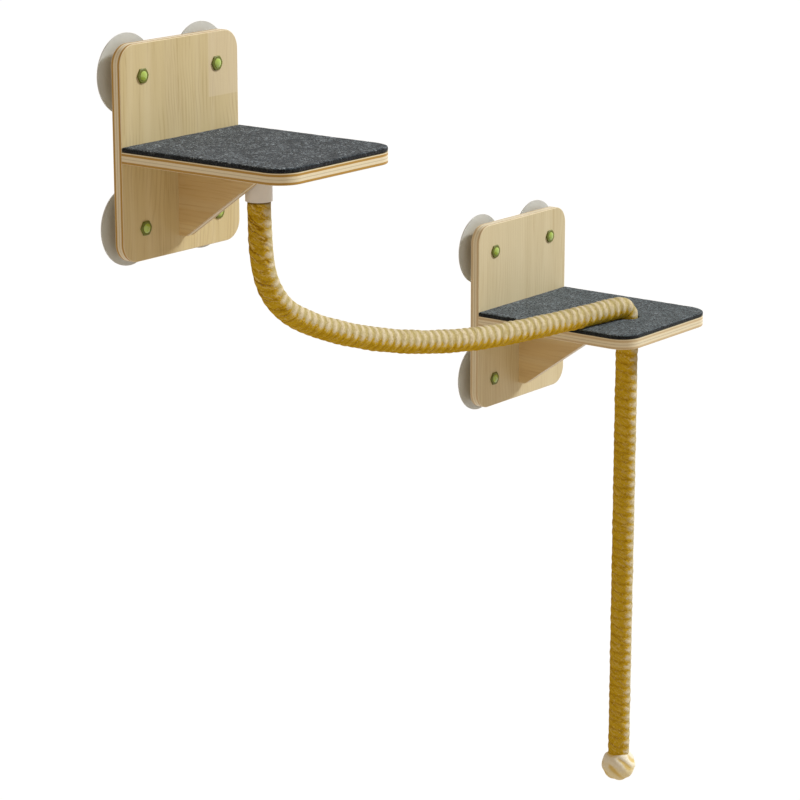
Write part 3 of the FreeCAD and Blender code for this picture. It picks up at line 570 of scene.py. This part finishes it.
def moulded(name, tones, rough_least, grain_scale, grain_strength, coat=0.3):
    """Moulded plastic with a fine grain and slight mottling."""
    made, tree, shader = new_material(name, {"Coat Weight": coat, "Coat Roughness": 0.2})
    mottle = noise_node(tree, object_coords(tree), 70, detail=3, roughness=0.6)
    grain = noise_node(tree, object_coords(tree), grain_scale, roughness=0.6)
    colour = mix_colours(tree, mottle, *tones)
    finish_surface(tree, shader, colour, grain, rough_least, rough_spread=0.15)
    set_relief(tree, shader, grain, grain_strength, distance=0.0004)
    return made


def steel_material():
    made, tree, shader = new_material("zinc_steel", {"Metallic": 1.0})
    grain = noise_node(tree, object_coords(tree), 700, roughness=0.6)
    colour = mix_colours(tree, grain, *ZINC)
    finish_surface(tree, shader, colour, grain, rough_least=0.3, rough_spread=0.2)
    set_relief(tree, shader, grain, strength=0.1, distance=0.0003)
    return made


def dress(node, material):
    """Gives a carried-over CAD node its material."""
    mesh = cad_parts[node].data
    mesh.materials.clear()
    mesh.materials.append(material)


def dress_boards(unit, step, drop, tones, strength, joint):
    """The plate, the shelf and the gusset, each with its own thickness and grain."""
    start_x, start_y, start_z = GRAIN_START
    shift = (start_x + step, start_y, start_z - drop)
    under = SHELF_TOP - PLY - drop
    side = step - PLY / 2
    plate = plywood(f"{unit}_plate_ply", Y, Z, PLATE_FRONT, shift, tones, strength, joint)
    dress(f"{unit}_back_plate", plate)
    dress(f"{unit}_shelf_board", plywood(f"{unit}_shelf_ply", Z, X, under, shift, tones, strength))
    # The gussets take the birch painted with warm shade
    dress(f"{unit}_gusset", plywood(f"{unit}_gusset_ply", X, Y, side, shift, SHADED_BIRCH, strength))


def dress_solids():
    steel = steel_material()
    studs = moulded("stud_green", STUD_GREEN, rough_least=0.03, grain_scale=500, grain_strength=0.04)
    nuts = moulded("nut_green", NUT_GREEN, rough_least=0.42, grain_scale=500, grain_strength=0.06, coat=0.0)
    socket = moulded("socket_pale", SOCKET_PALE, rough_least=0.42, grain_scale=650, grain_strength=0.12)
    dress_boards("upper", 0.0, 0.0, BIRCH, strength=1.0, joint=VENEER_CORNER)
    dress_boards("lower", UNIT_STEP, UNIT_DROP, PALE_BIRCH, strength=0.5, joint=None)
    for unit in ("upper", "lower"):
        for i in range(1, CUPS_PER_UNIT + 1):
            cup = f"{unit}_suction_cup_{i}"
            dress(cup, cup_material(cup))
        dress(f"{unit}_cup_studs", studs)
        dress(f"{unit}_hex_nuts", nuts)
        dress(f"{unit}_wood_screws", steel)
    dress("rope_socket", socket)
    dress("rope_socket_screw", steel)


# New pieces


def new_object(name, mesh, material):
    made = bpy.data.objects.new(name, mesh)
    bpy.context.scene.collection.objects.link(made)
    mesh.materials.append(material)
    mesh.polygons.foreach_set("use_smooth", [True] * len(mesh.polygons))
    return made


def rounded_shelf_outline(centre_x, inset):
    """The felt's outline, square at the plate and round at the two front corners."""
    left, right = centre_x - SHELF_HALF + inset, centre_x + SHELF_HALF - inset
    back, front = PLATE_FRONT - inset, PLATE_FRONT - SHELF_DEPTH + inset
    radius = SHELF_CORNER - inset
    points = [(right, back), (left, back)]
    for x, start in ((left + radius, math.pi), (right - radius, 1.5 * math.pi)):
        for i in range(CORNER_STEPS + 1):
            angle = start + math.pi / 2 * i / CORNER_STEPS
            points.append((x + radius * math.cos(angle), front + radius + radius * math.sin(angle)))
    return points


def rope_hole_outline(ease):
    """The hole round the rope, wider on the side where the rope comes in."""
    points = []
    for i in range(HOLE_SIDES):
        angle = 2 * math.pi * i / HOLE_SIDES
        spoke = Vector((math.cos(angle), math.sin(angle), 0))
        towards_bridge = max(0.0, -spoke.dot(BRIDGE_WAY))
        reach = FELT_HOLE + (FELT_HOLE_BRIDGE_SIDE - FELT_HOLE) * towards_bridge + ease
        points.append((HOLE.x + reach * spoke.x, HOLE.y + reach * spoke.y))
    return points


def felt_slab(unit, outlines):
    """A closed slab with softened edges, cut to its outlines."""
    curve = bpy.data.curves.new(f"{unit}_felt_outline", "CURVE")
    curve.dimensions = "2D"
    curve.fill_mode = "BOTH"
    curve.extrude = FELT / 2 - FELT_EASE
    curve.bevel_depth = FELT_EASE
    curve.bevel_resolution = FELT_EASE_STEPS
    for outline in outlines:
        spline = curve.splines.new("POLY")
        spline.points.add(len(outline) - 1)
        for point, (x, y) in zip(spline.points, outline):
            point.co = (x, y, 0, 1)
        spline.use_cyclic_u = True
    shape = bpy.data.objects.new(f"{unit}_felt_shape", curve)
    mesh = bpy.data.meshes.new_from_object(shape)
    bpy.data.objects.remove(shape)
    bpy.data.curves.remove(curve)
    welded = bmesh.new()
    welded.from_mesh(mesh)
    bmesh.ops.remove_doubles(welded, verts=welded.verts, dist=WELD)
    welded.to_mesh(mesh)
    welded.free()
    return mesh


def felt_pad(unit, centre_x, level, material):
    """A felt pad with a faintly uneven nap."""
    outlines = [rounded_shelf_outline(centre_x, FELT_EASE)]
    if unit == "lower":
        outlines.append(rope_hole_outline(FELT_EASE))
    made = new_object(f"{unit}_felt", felt_slab(unit, outlines), material)
    made.location.z = level + FELT / 2
    remesh = made.modifiers.new("even", "REMESH")
    remesh.mode = "VOXEL"
    remesh.voxel_size = FELT_VOXEL
    remesh.use_smooth_shade = True
    bpy.context.view_layer.update()
    even = bpy.data.meshes.new_from_object(made.evaluated_get(bpy.context.evaluated_depsgraph_get()))
    made.modifiers.clear()
    made.data = even
    for vertex in even.vertices:
        if vertex.co.z > 0:
            lift = sum(noise.noise(vertex.co * scale) * height for scale, height in NAP_WAVES)
            vertex.co.z += lift - NAP_SINK
    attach(made, "frame")
    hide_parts(f"{unit}_felt_pad")


def rope_line():
    """Points along the rope's middle, read from a NURBS spline through its route."""
    points = [MOUTH + UP * SOCKET_BORE]
    points += [MOUTH + BRIDGE_WAY * far - UP * drop for far, drop in ROUTE_FROM_SOCKET]
    points += [HOLE - BRIDGE_WAY * far + UP * height for far, height in ROUTE_TO_HOLE]
    points += [tail_point(z) for z in ROUTE_DOWN]
    curve = bpy.data.curves.new("rope_route", "CURVE")
    curve.dimensions = "3D"
    spline = curve.splines.new("NURBS")
    spline.points.add(len(points) - 1)
    for point, place in zip(spline.points, points):
        point.co = (*place, 1)
    spline.order_u = ROUTE_ORDER
    spline.use_endpoint_u = True
    spline.resolution_u = ROUTE_RESOLUTION
    shape = bpy.data.objects.new("rope_route", curve)
    mesh = bpy.data.meshes.new_from_object(shape)
    line = np.array([v.co for v in mesh.vertices])
    bpy.data.objects.remove(shape)
    bpy.data.curves.remove(curve)
    bpy.data.meshes.remove(mesh)
    return line


def tail_point(z):
    return Vector((HOLE.x, HOLE.y, z))


def distances(line):
    return np.concatenate([[0.0], np.cumsum(np.linalg.norm(np.diff(line, axis=0), axis=1))])


def nearest_distance(line, place):
    """How far along the line its nearest point to a place is."""
    return float(distances(line)[np.argmin(np.linalg.norm(line - np.array(place), axis=1))])


def points_along(line, place):
    along = distances(line)
    return np.stack([np.interp(place, along, line[:, k]) for k in range(3)], axis=1)


def rib_profile(across):
    """Height of a wound cord's round back, from 0 in its groove to 1 on its crest."""
    return np.sin(math.pi * across) ** RIB_ROUNDNESS


def wound_rope(name, line, start, end, material):
    """One stretch of the rope: its wound cord as one ribbed skin along the route's spline."""
    steps = math.ceil((end - start) / (RIB_PITCH / RIB_STEPS))
    place = np.linspace(start, end, steps + 1)
    middle = points_along(line, place)
    way = points_along(line, place + TANGENT_STEP) - points_along(line, place - TANGENT_STEP)
    way /= np.linalg.norm(way, axis=1)[:, None]
    side = np.array(BRIDGE_SIDE)
    outward = np.cross(side, way)

    angle = np.linspace(0, 2 * math.pi, ROPE_SIDES + 1)
    wound = place[:, None] / RIB_PITCH + angle[None, :] / (2 * math.pi)
    rib = np.floor(wound)
    height = rib_profile(wound - rib)
    turns = angle[None, :] / (2 * math.pi) - rib
    uneven = sum(size * np.sin(waves * turns + begin) for size, waves, begin in CORD_WAVES) - CORD_SINK
    swell = np.interp(place, *zip(*ROPE_SWELLS))[:, None]
    depth = np.interp(place, *zip(*RIB_DEPTHS))[:, None]
    radius = ROPE_DIAMETER / 2 + swell - depth * (1 - height) + uneven * height
    spoke = np.cos(angle)[None, :, None] * outward[:, None, :] + np.sin(angle)[None, :, None] * side
    points = (middle[:, None, :] + radius[:, :, None] * spoke)[:, :ROPE_SIDES]

    # Painted light: how far each point faces the side that is painted pale
    facing = spoke @ np.array(PAINTED_LIGHT_SIDE)
    faces, uvs, painted_lit = [], [], []
    for i in range(steps):
        row, next_row = i * ROPE_SIDES, (i + 1) * ROPE_SIDES
        for j in range(ROPE_SIDES):
            k = (j + 1) % ROPE_SIDES
            faces.append((row + j, row + k, next_row + k, next_row + j))
            for a, b in ((i, j), (i, j + 1), (i + 1, j + 1), (i + 1, j)):
                uvs.append((angle[b] / (2 * math.pi), wound[a, b]))
                painted_lit.append((facing[a, b], 0))
    mesh = bpy.data.meshes.new(name)
    mesh.from_pydata(points.reshape(-1, 3).tolist(), [], faces)
    for layer, values in (("winding", uvs), ("painted_light", painted_lit)):
        mesh.uv_layers.new(name=layer).data.foreach_set("uv", np.array(values).ravel())
    return new_object(name, mesh, material), middle


def ball_fold(spot):
    """How far a spot on the ball stands out of the folds between its turns of cord, 0 to 1."""
    wander = noise.noise(spot * WANDER_SCALE) * WANDER
    groove = abs(math.cos(BALL_FOLDS * spot.angle(BALL_WINDING) + wander)) ** FOLD_SHARPNESS
    opened = OPENED_MEAN + OPENED_SPREAD * noise.noise(spot * OPENED_SCALE + OPENED_SHIFT)
    return 1 - groove * min(1.0, max(OPENED_LEAST, opened))


def end_ball(material):
    """The ball on the rope's end: cord wound over itself in slanting folds."""
    points, folds, painted_lit = [], [], []
    for i in range(BALL_RINGS + 1):
        polar = math.pi * i / BALL_RINGS
        for j in range(BALL_SIDES):
            around = 2 * math.pi * j / BALL_SIDES
            level = Vector((math.cos(around), math.sin(around), 0))
            spot = level * math.sin(polar) + UP * math.cos(polar)
            fold = ball_fold(spot)
            squeeze = 1 - TOP_SQUEEZE * max(0.0, spot.z)
            reach = BALL_RADIUS * squeeze * (1 - FOLD_DEPTH * (1 - fold))
            points.append(BALL_CENTRE + spot * reach)
            folds.append(fold)
            # Painted light: paler towards the ball's top
            painted_lit.append(BALL_PAINTED_LIT_MEAN + BALL_PAINTED_LIT_UPWARD * spot.z)
    faces = []
    for i in range(BALL_RINGS):
        row, next_row = i * BALL_SIDES, (i + 1) * BALL_SIDES
        for j in range(BALL_SIDES):
            k = (j + 1) % BALL_SIDES
            faces.append((row + j, next_row + j, next_row + k, row + k))
    mesh = bpy.data.meshes.new("rope_ball")
    mesh.from_pydata(points, [], faces)
    for layer, values in (("winding", folds), ("painted_light", painted_lit)):
        uvs = mesh.uv_layers.new(name=layer).data
        for loop in mesh.loops:
            uvs[loop.index].uv = (values[loop.vertex_index], 0)
    mesh.validate()
    made = new_object("rope_ball", mesh, material)
    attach(made, "tail_lower")
    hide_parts("rope_end_ball")
    return made


def dress_rope():
    """The rope in stretches that meet at their cuts along the route, each in place of the CAD nodes that it
    hides.
    """
    line = rope_line()
    cord = rope_material()
    ball = end_ball(ball_material())
    bridge_cut = MOUTH + BRIDGE_WAY * BRIDGE_CUT_FAR - UP * BRIDGE_CUT_DROP
    shelf_cut = SWAY_LOW + BRIDGE_WAY * (SWAY_REACH + PAST_SWAY)
    places = [bridge_cut, shelf_cut, *(tail_point(z) for z in TAIL_CUTS)]
    cuts = [SOCKET_CUT, *(nearest_distance(line, place) for place in places)]
    rise = UP * SWAY_REACH
    run = BRIDGE_WAY * SWAY_REACH
    stretches = [
        ("rope_bridge_near", "frame", "bridge", SWAY_TOP + rise, SWAY_TOP - rise),
        ("rope_bridge_far", "bridge", "frame", SWAY_LOW - run, SWAY_LOW + run),
        ("rope_over_shelf", "frame", "tail_link", tail_point(LINK_BEND_START), tail_point(LINK_BEND_END)),
    ]
    for name, first, second, hinge, bend in (
        ("rope_tail_top", "tail_link", "tail_upper", TAIL_Z, SWING_REACH),
        ("rope_tail_end", "tail_upper", "tail_lower", BEND_Z, BEND_REACH),
    ):
        stretches.append((name, first, second, tail_point(hinge + bend), tail_point(hinge - bend)))
    wraps = [f"rope_bridge_wrap_{i}" for i in range(1, BRIDGE_WRAPS + 1)]
    stands_for = [
        ["rope_top_core", "rope_top_wrap", "rope_bridge_core", *wraps[:BRIDGE_WRAPS_NEAR]],
        wraps[BRIDGE_WRAPS_NEAR:],
        ["rope_shelf_core", "rope_shelf_wrap", "rope_fold", "rope_link_core", "rope_link_wrap"],
        ["rope_tail_upper_core", "rope_tail_upper_wrap"],
        ["rope_tail_lower_core", "rope_tail_lower_wrap"],
    ]
    for i, (name, first, second, start, end) in enumerate(stretches):
        made, middle = wound_rope(name, line, cuts[i], cuts[i + 1], cord)
        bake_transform(made)
        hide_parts(*stands_for[i])


# Stage, light and camera


def white_to_camera(tree, share):
    """How much white a surface or the sky shows where it is seen, in glass and metal too."""
    rays = tree.nodes.new("ShaderNodeLightPath").outputs
    seen = plus(tree, rays["Is Camera Ray"], rays["Is Glossy Ray"])
    seen = math_node(tree, "ADD", seen, rays["Is Transmission Ray"], clamp=True)
    return times(tree, seen, share)


def mix_shaders(tree, factor, first, second):
    shown = {0: factor, 1: first.outputs[0], 2: second.outputs[0]}
    return add_node(tree, "ShaderNodeMixShader", shown).outputs[0]


def set_sky(scene):
    world = bpy.data.worlds.new("studio")
    world.use_nodes = True
    scene.world = world
    tree = world.node_tree
    tree.nodes.clear()
    sky = add_node(tree, "ShaderNodeBackground", {"Color": SKY_COLOUR, "Strength": SKY_STRENGTH})
    white = add_node(tree, "ShaderNodeBackground", {"Color": WHITE, "Strength": 1.0})
    mixed = mix_shaders(tree, white_to_camera(tree, 1.0), sky, white)
    add_node(tree, "ShaderNodeOutputWorld", {"Surface": mixed})


def set_floor(scene):
    mesh = bpy.data.meshes.new("floor")
    ends = ((-1, -1), (1, -1), (1, 1), (-1, 1))
    corners = [(x * FLOOR_REACH, y * FLOOR_REACH, FLOOR_LEVEL) for x, y in ends]
    mesh.from_pydata(corners, [], [(0, 1, 2, 3)])
    floor = bpy.data.objects.new("floor", mesh)
    scene.collection.objects.link(floor)
    made = bpy.data.materials.new("floor_white")
    made.use_nodes = True
    tree = made.node_tree
    tree.nodes.clear()
    diffuse = add_node(tree, "ShaderNodeBsdfDiffuse", {"Color": FLOOR_COLOUR})
    glow = add_node(tree, "ShaderNodeEmission", {"Color": WHITE, "Strength": FLOOR_GLOW})
    mixed = mix_shaders(tree, white_to_camera(tree, FLOOR_WHITE_SHARE), diffuse, glow)
    add_node(tree, "ShaderNodeOutputMaterial", {"Surface": mixed})
    mesh.materials.append(made)


def set_light(scene):
    light = bpy.data.lights.new("key", "SUN")
    light.energy = KEY_ENERGY
    light.angle = KEY_ANGLE
    light.color = KEY_COLOUR
    key = bpy.data.objects.new("key", light)
    key.rotation_mode = "QUATERNION"
    key.rotation_quaternion = KEY_WAY.to_track_quat("-Z", "Y")
    scene.collection.objects.link(key)


def set_camera(scene):
    settings = bpy.data.cameras.new("camera")
    settings.lens = CAMERA_LENS
    settings.sensor_width = CAMERA_SENSOR
    settings.clip_end = CAMERA_CLIP_END
    camera = bpy.data.objects.new("camera", settings)
    camera.location = CAMERA_PLACE
    level = math.cos(CAMERA_PITCH)
    way = Vector((math.sin(CAMERA_YAW) * level, math.cos(CAMERA_YAW) * level, -math.sin(CAMERA_PITCH)))
    camera.rotation_mode = "QUATERNION"
    camera.rotation_quaternion = way.to_track_quat("-Z", "Y")
    scene.collection.objects.link(camera)
    scene.camera = camera


def set_stage():
    scene = bpy.context.scene
    scene.view_settings.view_transform = "Standard"
    set_sky(scene)
    set_floor(scene)
    set_light(scene)
    set_camera(scene)


set_stage()
dress_solids()
felt_pad("upper", 0.0, SHELF_TOP, felt_material("upper", UPPER_FELT, UPPER_FLECKS))
felt_pad("lower", UNIT_STEP, SHELF_TOP - UNIT_DROP, felt_material("lower", LOWER_FELT, LOWER_FLECKS))
dress_rope()
